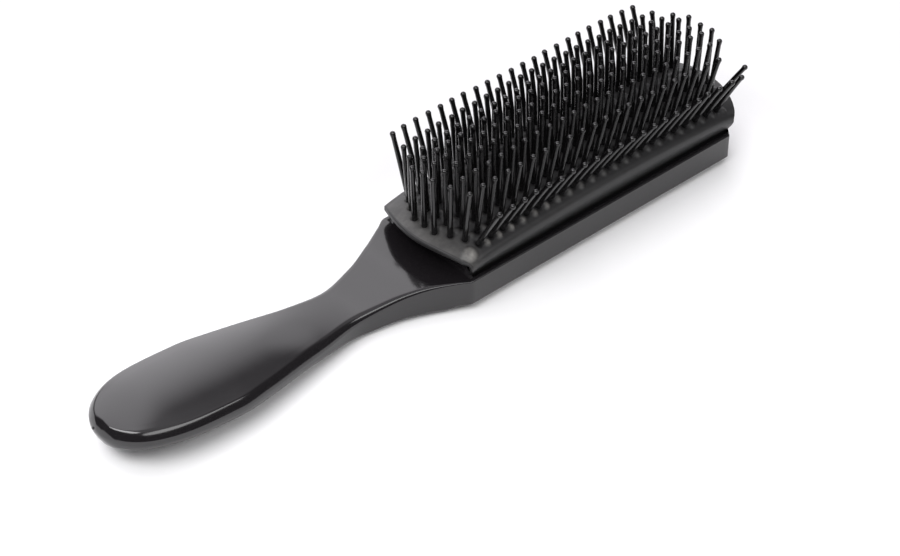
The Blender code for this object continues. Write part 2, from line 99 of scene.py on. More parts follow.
# Rubber pad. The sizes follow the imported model, but for a widest line 0.7 mm higher and flanks
# that are drawn in 1 mm further and end 1 mm lower
PAD_HALF = 18.85 * MM
PAD_SIDE_HALF = 53.6 * MM
PAD_FOOT_HALF = 52.3 * MM
PAD_END_BULGE = 5.9 * MM
TIP_CORNER = 1.5 * MM
TIP_CORNER_POWER = 10
TIP_CORNER_START_SHARE = 0.8
PAD_MID = 53.5 * MM
PAD_THICKNESS = 1.5 * MM
PAD_TOP = 13.0 * MM
PAD_TOP_SAG = 3.8 * MM
PAD_WIDEST = 6.3 * MM
PAD_WIDEST_SAG = 2.2 * MM
PAD_NECK_SKIN = 0.7 * MM
PAD_END_DROOP = 1.1 * MM
DROOP_START_SHARE = 0.8
FIELD_DROP = 2.8 * MM
FIELD_DROP_SAG = 0.8 * MM
FIELD_ROW = 15.08 * MM
FIELD_HALF = 16.5 * MM
FOOT_OUTER = 16.35 * MM
FOOT_TOP = -0.6 * MM
BEAD_OUTER = 18.0 * MM
BEAD_TOP = -2.0 * MM
BEAD_SLOPE = 0.6 * MM
BEAD_BOTTOM = -2.9 * MM
PAD_RIM_RADIUS = 0.22 * MM

# Pins, row by row: share of the pad's half width, pins in the row, and at the start, middle
# and end of the row the length in millimetres, the lean across in degrees and the sway along
# in millimetres
OUTER_ROW = 0.80
FULL_LENGTH = (19.95, 19.95, 19.95)
ROWS = ((-OUTER_ROW, 22, (19.4, 18.0, 19.9), (-29.6, -31.7, -28.6), (-0.5, 0.6, -0.4)),
        (-0.637, 23, FULL_LENGTH, (-10, -15, -13), (-1.2, -0.8, 0.4)),
        (-0.44, 24, FULL_LENGTH, (-5, -6, -5), (-1.4, -0.2, 0.8)),
        (-0.223, 25, FULL_LENGTH, (0, -1, 0), (-0.9, -0.5, 0.8)),
        (0.0, 25, FULL_LENGTH, (1, 1, 0), (-0.7, -0.3, 0.2)),
        (0.223, 25, FULL_LENGTH, (0, 3, 3), (-1.0, -0.4, 1.0)),
        (0.44, 24, FULL_LENGTH, (0, 2, 3), (-0.6, -0.4, 0.2)),
        (0.637, 23, FULL_LENGTH, (5, 6, 8), (-0.6, -1.1, -0.6)),
        (OUTER_ROW, 22, FULL_LENGTH, (25, 16, 27), (1.0, -1.2, 2.2)))
ROW_KNOTS = (0.0, 0.5, 1.0)
# Pins bent away from their row: row and pin, counted from 0, and the lean and sway added
BENT_PINS = {(0, 20): (0, 0.8), (0, 21): (0, 0.8), (1, 22): (-17, 1.7)}
# How far a pin may stray from its row, in degrees and in millimetres, and the bow, which grows
# with the sine of the row's lean
SCATTER_SEED = 9
LEAN_SCATTER = 0.6
SWAY_SCATTER = 0.2
PIN_BOW = 0.35 * MM
PIN_PITCH = 4.57 * MM

# One pin: radii, and the lengths of its sunk root, its foot and the flare below its ball
PIN_ROOT = 0.86 * MM
PIN_NECK = 0.71 * MM
PIN_BALL = 0.86 * MM
ROOT_SINK = 0.3 * MM
ROOT_SWELL_SHARE = 1.05
FOOT_LENGTH = 1.2 * MM
FOOT_SWELL_SHARE = 1.02
NECK_END = 1.6 * MM
FLARE_START = 1.1 * MM
FLARE_START_SHARE = 1.02
FLARE_END_SHARE = 1.15

# The bar that carries a row
BAR_HALF = 0.95 * MM
BAR_TOP = -1.15 * MM
BAR_BOTTOM = -2.55 * MM
BAR_FLAT_SHARE = 0.72
BAR_CORNER = 0.3 * MM
BAR_REACH_SHARE = 1.4

# Bosses, pits and dust on the pad
BOSS_RADIUS = 1.1 * MM
BOSS_HEIGHT = 0.75 * MM
BOSS_OUTWARD = 1.0 * MM
CORNER_MOUND_AWAY = 4.4 * MM
CORNER_MOUND_RADIUS = 2.3 * MM
CORNER_MOUND_HEIGHT = 0.75 * MM
CORNER_MOUND_STRETCH = 1.2
PIT_RADIUS = 1.3 * MM
PIT_DEPTH = 0.5 * MM
DUST_LOST_SHARE = 0.96
DUST_END_SHARE = 0.6
INNER_DUST_SHARE = 0.2
END_DUST = 5.0 * MM
END_DUST_SHARE = 0.28

# Camera, worked out from the photograph, whose frame is 900 x 556. The elevation is in degrees
FRAME_WIDTH = 900
FRAME_HEIGHT = 556
FOCAL_PIXELS = 2700
AXIS_PIXEL = (428.19, 248.98)
VIEW_TURN = math.radians(41.67)
VIEW_ELEVATION = 38.74
VIEW_DISTANCE = 766.3 * MM
SENSOR = 36.0
NEAREST_SEEN = 10 * MM

# Handle along its length: (share of its length from the end, share of the change)
GRIP_WIDTH_SHARES = ((0.0, 1.0), (0.313, 1.0), (0.414, 0.79), (0.514, 0.508),
                     (0.615, 0.222), (0.715, 0.0), (1.0, 0.0))
HEAD_WIDTH_SHARES = ((0.0, 0.0), (0.715, 0.0), (0.816, 0.163), (0.90, 0.477),
                     (0.9665, 0.822), (1.0, 1.0))
EDGE_HEIGHT_SHARES = ((0.0, 1.45), (0.1, 1.3), (0.2, 0.86), (0.313, 0.36), (0.414, -0.02),
                      (0.514, -0.37), (0.615, -0.85), (0.715, -1.0), (0.816, -0.45),
                      (0.90, 0.05), (0.9665, 0.05), (1.0, 0.0))
SHOULDER_WALL_SHARES = ((0.0, 0.0), (0.615, 0.0), (0.715, 0.15), (0.816, 0.5),
                        (0.90, 0.92), (0.9665, 1.0), (1.0, 1.0))
GRIP_CROWN_SHARES = ((0.0, 1.0), (0.313, 1.0), (0.46, 0.75), (0.56, 0.35), (0.66, 0.08),
                     (0.76, 0.0), (1.0, 0.0))
TOP_ROUNDING_SHARES = ((0.0, 0.96), (0.514, 0.94), (0.615, 0.82), (0.715, 0.64), (0.816, 0.46),
                       (0.86, 0.38), (0.90, 0.28), (0.9335, 0.2), (1.0, 0.11))
BACK_ROUNDING_SHARES = ((0.0, 0.96), (0.514, 0.94), (0.615, 0.75), (0.715, 0.35),
                        (0.77, 0.16), (1.0, 0.11))
# The stretch on each side over which flow() averages a table
FLOW_SPREAD_SHARE = 0.03

# Edge of the grip: the tilts between which it falls away steeply, how much that part is drawn
# out and where along the handle that ends, how much wider the edge may grow where the outline
# turns round the nose, and the most of the half width that it may take
RIM_STEEP = (math.radians(44), math.radians(67))
RIM_STRETCH = 3.2
RIM_END_SHARES = (0.5, 0.8)
RIM_WIDEST = 4.0
RIM_MOST_SHARE = 0.92
HALVINGS = 30
# Where along the handle the parting ridge dies away
RIDGE_END_SHARES = (0.45, 0.62)

handle_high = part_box("handle")[1]
ORIGIN = Vector((handle_high.x - HEAD_LENGTH - TIP_BULGE, 0, handle_high.z - BED_HEIGHT))


def at(x, y, z):
    return ORIGIN + Vector((x, y, z))


def mix(a, b, share):
    return a + (b - a) * share


def ease(a, b, value):
    """0 below a, 1 above b, and a smooth step between."""
    t = min(max((value - a) / (b - a), 0.0), 1.0)
    return t * t * (3 - 2 * t)


def follow(table, share):
    """Read a table of shares with a smooth monotone curve through its points."""
    xs = [point[0] for point in table]
    ys = [point[1] for point in table]
    share = min(max(share, xs[0]), xs[-1])
    i = min(max(sum(1 for x in xs if x <= share) - 1, 0), len(xs) - 2)
    slopes = [(ys[k + 1] - ys[k]) / (xs[k + 1] - xs[k]) for k in range(len(xs) - 1)]

    def tangent(k):
        if k == 0 or k == len(xs) - 1 or slopes[k - 1] * slopes[k] <= 0:
            return 0.0
        return 2 * slopes[k - 1] * slopes[k] / (slopes[k - 1] + slopes[k])

    step = xs[i + 1] - xs[i]
    t = (share - xs[i]) / step
    return ((2 * t ** 3 - 3 * t ** 2 + 1) * ys[i] + (t ** 3 - 2 * t ** 2 + t) * step * tangent(i)
            + (3 * t ** 2 - 2 * t ** 3) * ys[i + 1] + (t ** 3 - t ** 2) * step * tangent(i + 1))


def flow(table, share):
    """The same curve, averaged over a short stretch so that reflections run without a kink.

    The weights fall away on both sides in a bell curve.
    """
    steps = 4
    fall = 6
    offsets = [k * FLOW_SPREAD_SHARE / steps for k in range(-steps, steps + 1)]
    weights = [math.exp(-(steps * offset / FLOW_SPREAD_SHARE) ** 2 / fall) for offset in offsets]
    total = sum(w * follow(table, share + offset) for w, offset in zip(weights, offsets))
    return total / sum(weights)


def rim_out(tilt, stretch):
    """How far out a rounded edge has come where its face has turned by tilt.

    Its curve is a quarter circle with the stretch from RIM_STEEP[0] to RIM_STEEP[1] drawn out.
    """
    first, last = RIM_STEEP
    return math.sin(tilt) + (stretch - 1) * (math.sin(min(max(tilt, first), last))
                                             - math.sin(first))


def rim_down(tilt, stretch):
    """How far down it has come there."""
    first, last = RIM_STEEP
    return 1 - math.cos(tilt) + (stretch - 1) * (math.cos(first)
                                                 - math.cos(min(max(tilt, first), last)))


def rim_rise(distance, length):
    """0 at the end of the grip and 1 a length further in, along the same rounded edge.

    The tilt that belongs to the distance is found by halving.
    """
    whole_out = rim_out(math.pi / 2, RIM_STRETCH)
    whole_down = rim_down(math.pi / 2, RIM_STRETCH)
    low, high = 0.0, math.pi / 2
    for _ in range(HALVINGS):
        tilt = (low + high) / 2
        if 1 - rim_out(tilt, RIM_STRETCH) / whole_out > distance / length:
            low = tilt
        else:
            high = tilt
    return 1 - rim_down(low, RIM_STRETCH) / whole_down


def rounded(distance, length):
    """0 at the end of a form and 1 a length further in, round at the end and without a kink.

    Close to the end it grows with the root of 3 * distance / length.
    """
    return math.sqrt(1 - max(1 - distance / length, 0) ** 3)


# Materials

def linear(code):
    """An sRGB hex colour as the linear values that a shader takes."""
    channels = [int(code[i:i + 2], 16) / 255 for i in (1, 3, 5)]
    return tuple(c / 12.92 if c <= 0.04045 else ((c + 0.055) / 1.055) ** 2.4
                 for c in channels) + (1.0,)


def add(tree, kind, settings=None, **inputs):
    """One node with its settings, and with its inputs set to values or linked to sockets.

    An input goes by its name, or as _0, _1 and so on by its place.
    """
    node = tree.nodes.new(kind)
    for name, value in (settings or {}).items():
        setattr(node, name, value)
    for name, value in inputs.items():
        key = int(name[1:]) if name[0] == "_" and name[1:].isdigit() else name.replace("_", " ")
        socket = node.inputs[key]
        if isinstance(value, bpy.types.NodeSocket):
            tree.links.new(value, socket)
        else:
            socket.default_value = value
    return node


def start_material(name):
    """A new material, its empty node tree and the place on the object, in metres."""
    material = bpy.data.materials.new(name)
    material.use_nodes = True
    tree = material.node_tree
    tree.nodes.clear()
    place = add(tree, "ShaderNodeTexCoord").outputs["Object"]
    return material, tree, place


def end_material(tree, shader):
    add(tree, "ShaderNodeOutputMaterial", Surface=shader)


def polished_abs():
    """Injection-moulded black ABS from a polished tool: a clear, almost unbroken gloss, with
    the slow waviness of a thick moulding and the hairline scuffs of handling, which are drawn
    wider than real ones so that they show."""
    material, tree, place = start_material("polished_black_abs")
    waves = add(tree, "ShaderNodeTexNoise", Vector=place, Scale=1 / (22 * MM), Detail=1.0)
    stretched = add(tree, "ShaderNodeMapping", Vector=place, Scale=(1.0, 14.0, 14.0),
                    Rotation=(0.0, 0.0, math.radians(17)))
    hairlines = add(tree, "ShaderNodeTexNoise", Vector=stretched.outputs["Vector"],
                    Scale=1 / (9 * MM), Detail=3.0, Roughness=0.7)
    smears = add(tree, "ShaderNodeTexNoise", Vector=place, Scale=1 / (14 * MM), Detail=4.0,
                 Roughness=0.65)
    polish = add(tree, "ShaderNodeMapRange", Value=smears.outputs["Fac"], From_Min=0.35,
                 From_Max=0.75, To_Min=0.11, To_Max=0.17)
    relief = add(tree, "ShaderNodeBump", Height=waves.outputs["Fac"], Distance=0.06 * MM,
                 Strength=0.5)
    scuffed = add(tree, "ShaderNodeBump", Height=hairlines.outputs["Fac"], Strength=0.04,
                  Distance=0.02 * MM, Normal=relief.outputs["Normal"])
    shader = add(tree, "ShaderNodeBsdfPrincipled", Base_Color=linear("#191719"), IOR=1.64,
                 Roughness=polish.outputs["Result"], Normal=scuffed.outputs["Normal"])
    end_material(tree, shader.outputs["BSDF"])
    return material


def dusty_rubber():
    """Moulded black rubber: a dry matt skin that greys where it is rubbed and holds dust, with
    the fine grain of the blasted tool, drawn coarser than it is so that it shows."""
    material, tree, place = start_material("dusty_black_rubber")
    worn = add(tree, "ShaderNodeAttribute", {"attribute_name": "worn"}).outputs["Fac"]
    patches = add(tree, "ShaderNodeTexNoise", Vector=place, Scale=1 / (5 * MM), Detail=5.0,
                  Roughness=0.7)
    grain = add(tree, "ShaderNodeTexNoise", Vector=place, Scale=1 / (0.35 * MM), Detail=2.0)
    broken = add(tree, "ShaderNodeMapRange", Value=patches.outputs["Fac"], From_Min=0.38,
                 From_Max=0.66, To_Min=0.35, To_Max=1.0)
    amount = add(tree, "ShaderNodeMath", {"operation": "MULTIPLY"}, _0=worn,
                 _1=broken.outputs["Result"])
    base = add(tree, "ShaderNodeMix", {"data_type": "RGBA"}, _0=patches.outputs["Fac"],
               _6=linear("#0e0d0e"), _7=linear("#161516"))
    dusty = add(tree, "ShaderNodeMix", {"data_type": "RGBA"}, _0=amount.outputs["Value"],
                _6=base.outputs[2], _7=linear("#8b8985"))
    relief = add(tree, "ShaderNodeBump", Height=grain.outputs["Fac"], Distance=0.05 * MM,
                 Strength=0.35)
    shader = add(tree, "ShaderNodeBsdfPrincipled", Base_Color=dusty.outputs[2], IOR=1.58,
                 Roughness=0.5, Normal=relief.outputs["Normal"])
    end_material(tree, shader.outputs["BSDF"])
    return material


def satin_nylon():
    """Moulded black nylon: harder and shinier than the rubber, with a satin skin that draws a
    thin light line down each pin."""
    material, tree, place = start_material("satin_black_nylon")
    cloud = add(tree, "ShaderNodeTexNoise", Vector=place, Scale=1 / (3 * MM), Detail=3.0)
    polish = add(tree, "ShaderNodeMapRange", Value=cloud.outputs["Fac"], From_Min=0.3,
                 From_Max=0.7, To_Min=0.09, To_Max=0.18)
    relief = add(tree, "ShaderNodeBump", Height=cloud.outputs["Fac"], Distance=0.03 * MM,
                 Strength=0.3)
    shader = add(tree, "ShaderNodeBsdfPrincipled", Base_Color=linear("#0d0c0d"), IOR=1.56,
                 Roughness=polish.outputs["Result"], Normal=relief.outputs["Normal"])
    end_material(tree, shader.outputs["BSDF"])
    return material


def new_piece(name, bm, material, body, sharp_degrees=35):
    """A finished piece that rides on a body of the model, with the material it is given."""
    bmesh.ops.recalc_face_normals(bm, faces=bm.faces)
    mesh = bpy.data.meshes.new(name)
    bm.to_mesh(mesh)
    bm.free()
    mesh.materials.append(material)
    mesh.shade_smooth()
    mesh.set_sharp_from_angle(angle=math.radians(sharp_degrees))
    piece = bpy.data.objects.new(name, mesh)
    bpy.context.scene.collection.objects.link(piece)
    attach(piece, body)
    return piece


def skin(bm, ring, following, closed=True):
    """The faces between two rows of corners."""
    count = len(ring)
    for i in range(count if closed else count - 1):
        j = (i + 1) % count
        bm.faces.new((ring[i], ring[j], following[j], following[i]))


def skin_all(bm, rings, closed=True):
    for ring, following in zip(rings, rings[1:]):
        skin(bm, ring, following, closed)


# Handle and head

BED_SAMPLES = 30
LIP_INNER_SHARE = (HEAD_HALF - LIP_THICKNESS + LIP_INNER_RADIUS) / (HEAD_HALF - LIP_RADIUS)
BED_EDGE_SHARE = BED_HALF / (HEAD_HALF - LIP_RADIUS)
BED_SHARES = [BED_EDGE_SHARE * math.cos(math.pi * k / BED_SAMPLES)
              for k in range(BED_SAMPLES + 1)]
TOP_SHARES = [LIP_INNER_SHARE] + BED_SHARES + [-LIP_INNER_SHARE]
CORNER_STEPS = 24
RIDGE_STEP = 11
LIP_STEPS = 4
END_STEPS = 4
NOSE_RINGS = 72
NOSE_START_SHARE = 0.35
HANDLE_RINGS = 96
HEAD_RINGS = 12
TILT_ROUNDS = 5
REACH_ROUNDS = 3
LEAST_NORMAL = 0.2
MITRE_LIMIT = 1.4
GATE_SIDES = 20


def bed_height(y):
    return BED_HEIGHT * max(1 - abs(y / BED_ROUND_HALF) ** 3, 0) ** (1 / 3)


def meeting_tilt(half, radius, rise):
    """The slope at which a domed face, rise(reach) steep at its edge, meets a round corner."""
    tilt = 0.0
    for _ in range(TILT_ROUNDS):
        tilt = math.atan(rise(half - radius * (1 - math.sin(tilt))))
    return tilt


def rim_points(half, top, width, height, slope, stretch):
    """The edge of the grip in section, from where the top arrives with a slope, to upright."""
    whole_out = rim_out(math.pi / 2, stretch)
    whole_down = rim_down(math.pi / 2, stretch)
    start = math.atan(slope * (width / whole_out) / (height / whole_down))
    points = []
    for k in range(CORNER_STEPS + 1):
        tilt = mix(start, math.pi / 2, k / CORNER_STEPS)
        points.append((half - width * (1 - rim_out(tilt, stretch) / whole_out),
                       top - height * rim_down(tilt, stretch) / whole_down))
    return points


def back_corner(half, bottom, radius, tilt, ridge):
    """The lower corner in section, from upright to the tilted back, with the parting ridge."""
    points = []
    for k in range(CORNER_STEPS + 1):
        angle = mix(0, math.pi / 2 - tilt, k / CORNER_STEPS)
        y = half - radius + radius * math.cos(angle)
        z = bottom + radius - radius * math.sin(angle)
        if k == RIDGE_STEP:
            y += ridge * math.cos(angle)
            z -= ridge * math.sin(angle)
        points.append((y, z))
    return points


def outline_at(x):
    """Closed section of the handle or head at x, as (y, z) points from the far lip round."""
    from_end = x + HANDLE_LENGTH
    share = min(from_end / HANDLE_LENGTH, 1.0)
    step = ease(STEP_START, STEP_END, x)
    lip = ease(-STEP_LENGTH, 0, x)
    bed = ease(0, GROOVE_START / 2, x)
    nose = rounded(from_end, NOSE_LENGTH)
    thin = rim_rise(from_end, NOSE_ROUNDING)

    # Width, and how fast the nose takes it away
    half = NECK_WIDTH / 2
    half += (GRIP_WIDTH - NECK_WIDTH) / 2 * flow(GRIP_WIDTH_SHARES, share)
    half += (HEAD_HALF - NECK_WIDTH / 2) * follow(HEAD_WIDTH_SHARES, share)
    half *= nose
    narrowing = GRIP_WIDTH / 2 * (rounded(from_end + HAIR, NOSE_LENGTH) - nose) / HAIR

    # Heights, crowns and corner radii
    rim = GRIP_THICKNESS - 2 * GRIP_CROWN
    height = mix(rim, SHOULDER_WALL, flow(SHOULDER_WALL_SHARES, share))
    half_height = height / 2 * thin
    level = NECK_DIP * flow(EDGE_HEIGHT_SHARES, share) * (1 - ease(-2 * STEP_LENGTH, 0, x))
    middle = level - height / 2
    top = middle + half_height
    bottom = mix(middle - half_height, -WALL_HEIGHT, step)
    crown = GRIP_CROWN * flow(GRIP_CROWN_SHARES, share) * nose ** 2
    back_crown = mix(max(crown, NECK_BACK_CROWN) * thin, BACK_DEPTH, step)
    crown *= thin
    top_radius = min(half_height * flow(TOP_ROUNDING_SHARES, share), half / 2)
    top_radius = mix(top_radius, LIP_RADIUS, lip)
    back_radius = min(half_height * flow(BACK_ROUNDING_SHARES, share), half / 2)
    back_radius = mix(back_radius, BACK_RADIUS, step)
    land = mix(half * BACK_LAND / (2 * HEAD_HALF), BACK_LAND, step)

    # Upper edge. Its slope and the reach of the top hang on each other, so they take a few rounds
    stretch = mix(RIM_STRETCH, 1, ease(*RIM_END_SHARES, share))
    width = top_radius * rim_out(math.pi / 2, stretch) / rim_down(math.pi / 2, stretch)
    width = min(width * min(math.hypot(1, narrowing), RIM_WIDEST), half * RIM_MOST_SHARE)
    reach = half - width
    for _ in range(REACH_ROUNDS):
        slope = 2 * crown * (1 - bed) / reach
        corner = rim_points(half, top, width, top_radius, slope, stretch)
        reach, edge_z = corner[0]

    # Top, which turns into the bed past the shoulder
    points = []
    for s in TOP_SHARES:
        y = s * reach
        over_bed = bed_height(y) if abs(s) < LIP_INNER_SHARE else 0.0
        points.append((y, mix(edge_z + crown * (1 - s * s), over_bed, bed)))

    # Lower corner and back
    tilt = meeting_tilt(half, back_radius,
                        lambda edge: back_crown * math.pi / 2 / max(edge - land, HAIR))
    ridge = PARTING_RIDGE * thin * (1 - ease(*RIDGE_END_SHARES, share))
    corner += back_corner(half, bottom, back_radius, tilt, ridge)
    edge, edge_z = corner[-1]
    back = []
    for s in BED_SHARES:
        y = s * reach
        t = min(max((edge - abs(y)) / max(edge - land, HAIR), 0), 1)
        back.append((y, edge_z - back_crown * math.sin(t * math.pi / 2)))
    points += [(-y, z) for y, z in corner]
    points += back[::-1]
    points += corner[::-1]
    return points


# Points of an outline in its top, in each of its sides and in its back
TOP_COUNT = len(TOP_SHARES)
CORNER_COUNT = 2 * (CORNER_STEPS + 1)
BACK_COUNT = len(BED_SHARES)


def groove_chain():
    """Points down the bed's side, along the undercut and up to the lip, on the +y side."""
    slot = HEAD_HALF - LIP_THICKNESS
    under = HEAD_HALF - GROOVE_WALL
    chain = [(BED_HALF, -GROOVE_DEPTH), (under, -GROOVE_DEPTH), (under, -LIP_DEPTH),
             (slot, -LIP_DEPTH)]
    for k in range(LIP_STEPS):
        angle = math.pi / 2 * k / LIP_STEPS
        chain.append((slot + LIP_INNER_RADIUS * (1 - math.cos(angle)),
                      -LIP_INNER_RADIUS * (1 - math.sin(angle))))
    return chain


def tip_x(y):
    """How far along the brush the arc of the tip lies at y."""
    radius = (HEAD_HALF ** 2 + TIP_BULGE ** 2) / (2 * TIP_BULGE)
    return HEAD_LENGTH + TIP_BULGE - radius + math.sqrt(radius ** 2 - y ** 2)


def inward(outline):
    """Vectors that point into the section at each point of a closed outline.

    Each moves its corner so that the sides beside it move in by about 1.
    """
    vectors = []
    for i, point in enumerate(outline):
        before = Vector(outline[i - 1])
        after = Vector(outline[(i + 1) % len(outline)])
        here = Vector(point)
        first = (here - before).normalized()
        second = (after - here).normalized()
        normal = Vector((-first.y - second.y, first.x + second.x))
        length = max(normal.length, LEAST_NORMAL)
        vectors.append(normal / length * min(2 / length, MITRE_LIMIT))
    return vectors


def make_handle(material):
    """The one-piece moulding: grip, neck, ramp and grooved head."""
    bm = bmesh.new()

    def ring(x, outline):
        return [bm.verts.new(at(x, y, z)) for y, z in outline]

    # Grip and neck, with the rings closer together towards the end of the nose
    stations = []
    for k in range(NOSE_RINGS):
        angle = (k + NOSE_START_SHARE) / NOSE_RINGS * math.pi / 2
        stations.append(-HANDLE_LENGTH + NOSE_LENGTH * (1 - math.cos(angle)))
    grip = HANDLE_LENGTH - NOSE_LENGTH
    stations += [mix(-grip, 0, k / HANDLE_RINGS) for k in range(HANDLE_RINGS + 1)]
    rings = [ring(x, outline_at(x)) for x in stations]
    skin_all(bm, rings)
    bm.faces.new(rings[0])

    # Where the grooves start: the points of the section that stay are joined to the ring before
    # it, and the flat end of each groove closes the rest
    base = outline_at(GROOVE_START)
    chain = groove_chain()
    far_chain = [(y, z) for y, z in reversed(chain)]
    near_chain = [(-y, z) for y, z in chain]
    full = [base[0]] + far_chain + base[1:TOP_COUNT - 1] + near_chain + base[TOP_COUNT - 1:]
    count = len(chain)
    kept = [0] + [i + count for i in range(1, TOP_COUNT - 1)]
    kept += [i + 2 * count for i in range(TOP_COUNT - 1, len(base))]
    grooved = ring(GROOVE_START, full)
    skin(bm, rings[-1], [grooved[i] for i in kept])
    bm.faces.new(grooved[0:count + 2])
    near = TOP_COUNT - 2 + count
    bm.faces.new(grooved[near:near + count + 2])

    # Head, straight to near its end and then rounded over into the face of the tip
    end = HEAD_LENGTH - TIP_RING_BACK
    for k in range(1, HEAD_RINGS + 1):
        following = ring(mix(GROOVE_START, end, k / HEAD_RINGS), full)
        skin(bm, grooved, following)
        grooved = following
    pull = inward(full)
    for k in range(END_STEPS + 1):
        angle = math.pi / 2 * k / END_STEPS
        shrink = END_RADIUS * (1 - math.cos(angle))
        outline = [(y + v.x * shrink, z + v.y * shrink) for (y, z), v in zip(full, pull)]
        following = [bm.verts.new(at(tip_x(y) - END_RADIUS * (1 - math.sin(angle)), y, z))
                     for y, z in outline]
        skin(bm, grooved, following)
        grooved = following

    # Face of the tip: strips from the bed down to the back, and the two sides
    first_top = 1 + count
    last_top = first_top + BACK_COUNT - 1
    first_back = len(full) - CORNER_COUNT - BACK_COUNT
    for k in range(BACK_COUNT - 1):
        a = first_top + k
        b = first_back + BACK_COUNT - 1 - k
        bm.faces.new((grooved[a], grooved[a + 1], grooved[b - 1], grooved[b]))
    bm.faces.new(grooved[last_top:first_back + 1])
    bm.faces.new(grooved[first_back + BACK_COUNT - 1:] + grooved[:first_top + 1])
    piece = new_piece("handle_shell", bm, material, "handle")
    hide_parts("handle")


def make_gate_mark(material):
    """The stub on the end of the grip where the moulding was broken from its runner.

    It sits on the rim of the nose where that has turned by GATE_TILT, a little off the middle,
    and is as matt as the rubber.
    """
    section = outline_at(-HANDLE_LENGTH + GATE_DEPTH)
    middle = (max(z for _, z in section) + min(z for _, z in section)) / 2
    out = rim_out(GATE_TILT, RIM_STRETCH) / rim_out(math.pi / 2, RIM_STRETCH)
    down = rim_down(GATE_TILT, RIM_STRETCH) / rim_down(math.pi / 2, RIM_STRETCH)
    from_end = NOSE_ROUNDING * (1 - out)
    # The outline of the nose falls back by the square of the offset, as in rounded()
    from_end += NOSE_LENGTH / 3 * (2 * GATE_OFFSET / GRIP_WIDTH) ** 2
    rise = (GRIP_THICKNESS / 2 - GRIP_CROWN) * (1 - down)
    bm = bmesh.new()
    bmesh.ops.create_cone(bm, cap_ends=True, segments=GATE_SIDES, radius1=GATE_RADIUS,
                          radius2=GATE_TAPER_SHARE * GATE_RADIUS, depth=GATE_DEPTH,
                          matrix=Matrix.Rotation(-math.pi / 2, 4, "Y"))
    place = at(from_end - HANDLE_LENGTH, GATE_OFFSET, middle + rise)
    bmesh.ops.translate(bm, verts=bm.verts, vec=place)
    new_piece("gate_mark", bm, material, "handle")


# Rubber pad

FIELD_LINES = 46
SHOULDER_LINES = 10
FLANK_LINES = 16
PAD_COLUMNS = 300
COLUMN_SPREAD = 1.2
PAD_RIM_STEPS = 4
PAD_RIM_COLUMNS = 3
FIELD_PULL_SHARE = 0.4
WIDEST_PULL_SHARE = 0.55
FLANK_TURN = 0.18
LEAST_BOSS_SHARE = 0.5


def crown_share(x):
    """0 at the middle of the pad and 1 at its ends, as its crown falls away."""
    return ((x - PAD_MID) / (PAD_SIDE_HALF + PAD_END_BULGE)) ** 2


def end_droop(x, y):
    """How far the rounded ends of the pad curl down towards their edge."""
    curl = max(abs(x - PAD_MID) / pad_end(y) - DROOP_START_SHARE, 0) / (1 - DROOP_START_SHARE)
    return PAD_END_DROOP * curl ** 2


def field_height(x, y):
    """Height of the field, the crowned top that carries the pins."""
    sag = crown_share(x)
    drop = FIELD_DROP - FIELD_DROP_SAG * sag
    return PAD_TOP - PAD_TOP_SAG * sag - drop * abs(y / FIELD_ROW) ** 3 - end_droop(x, y)


def widest_height(x):
    return PAD_WIDEST - PAD_WIDEST_SAG * crown_share(x) - end_droop(x, PAD_HALF)


def field_slope(x, y):
    drop = FIELD_DROP - FIELD_DROP_SAG * crown_share(x)
    return 3 * drop * (y / FIELD_ROW) ** 2 / FIELD_ROW


def shoulder_point(x, t):
    """From the edge of the field, over a gently sloping flange, round to the widest line."""
    start = Vector((FIELD_HALF, field_height(x, FIELD_HALF)))
    end = Vector((PAD_HALF, widest_height(x)))
    pull = (end - start).length
    leaving = Vector((1, -field_slope(x, FIELD_HALF))).normalized()
    first = start + leaving * pull * FIELD_PULL_SHARE
    second = end + Vector((0, 1)) * pull * WIDEST_PULL_SHARE
    u = 1 - t
    return u ** 3 * start + 3 * u * u * t * first + 3 * u * t * t * second + t ** 3 * end


def pad_end(y):
    """Half length of the pad at y, with its rounded ends."""
    return PAD_SIDE_HALF + PAD_END_BULGE * (1 - (min(abs(y), PAD_HALF) / PAD_HALF) ** 2)


def tip_trim(y):
    """How far the two corners at the tip are rounded back."""
    return TIP_CORNER * (min(abs(y), PAD_HALF) / PAD_HALF) ** TIP_CORNER_POWER


def flank_point(x, t):
    """From the widest line (t = 0), turned under in a straight slope, to the foot (t = 1)."""
    under = (math.hypot(t, FLANK_TURN) - FLANK_TURN) / (math.hypot(1, FLANK_TURN) - FLANK_TURN)
    return mix(PAD_HALF, FOOT_OUTER, under), mix(widest_height(x), FOOT_TOP, t)


def inside(y, z, tilt):
    """The point one thickness of rubber in from (y, z), where the skin falls away by tilt."""
    return y - PAD_THICKNESS * math.sin(tilt), z - PAD_THICKNESS * math.cos(tilt)


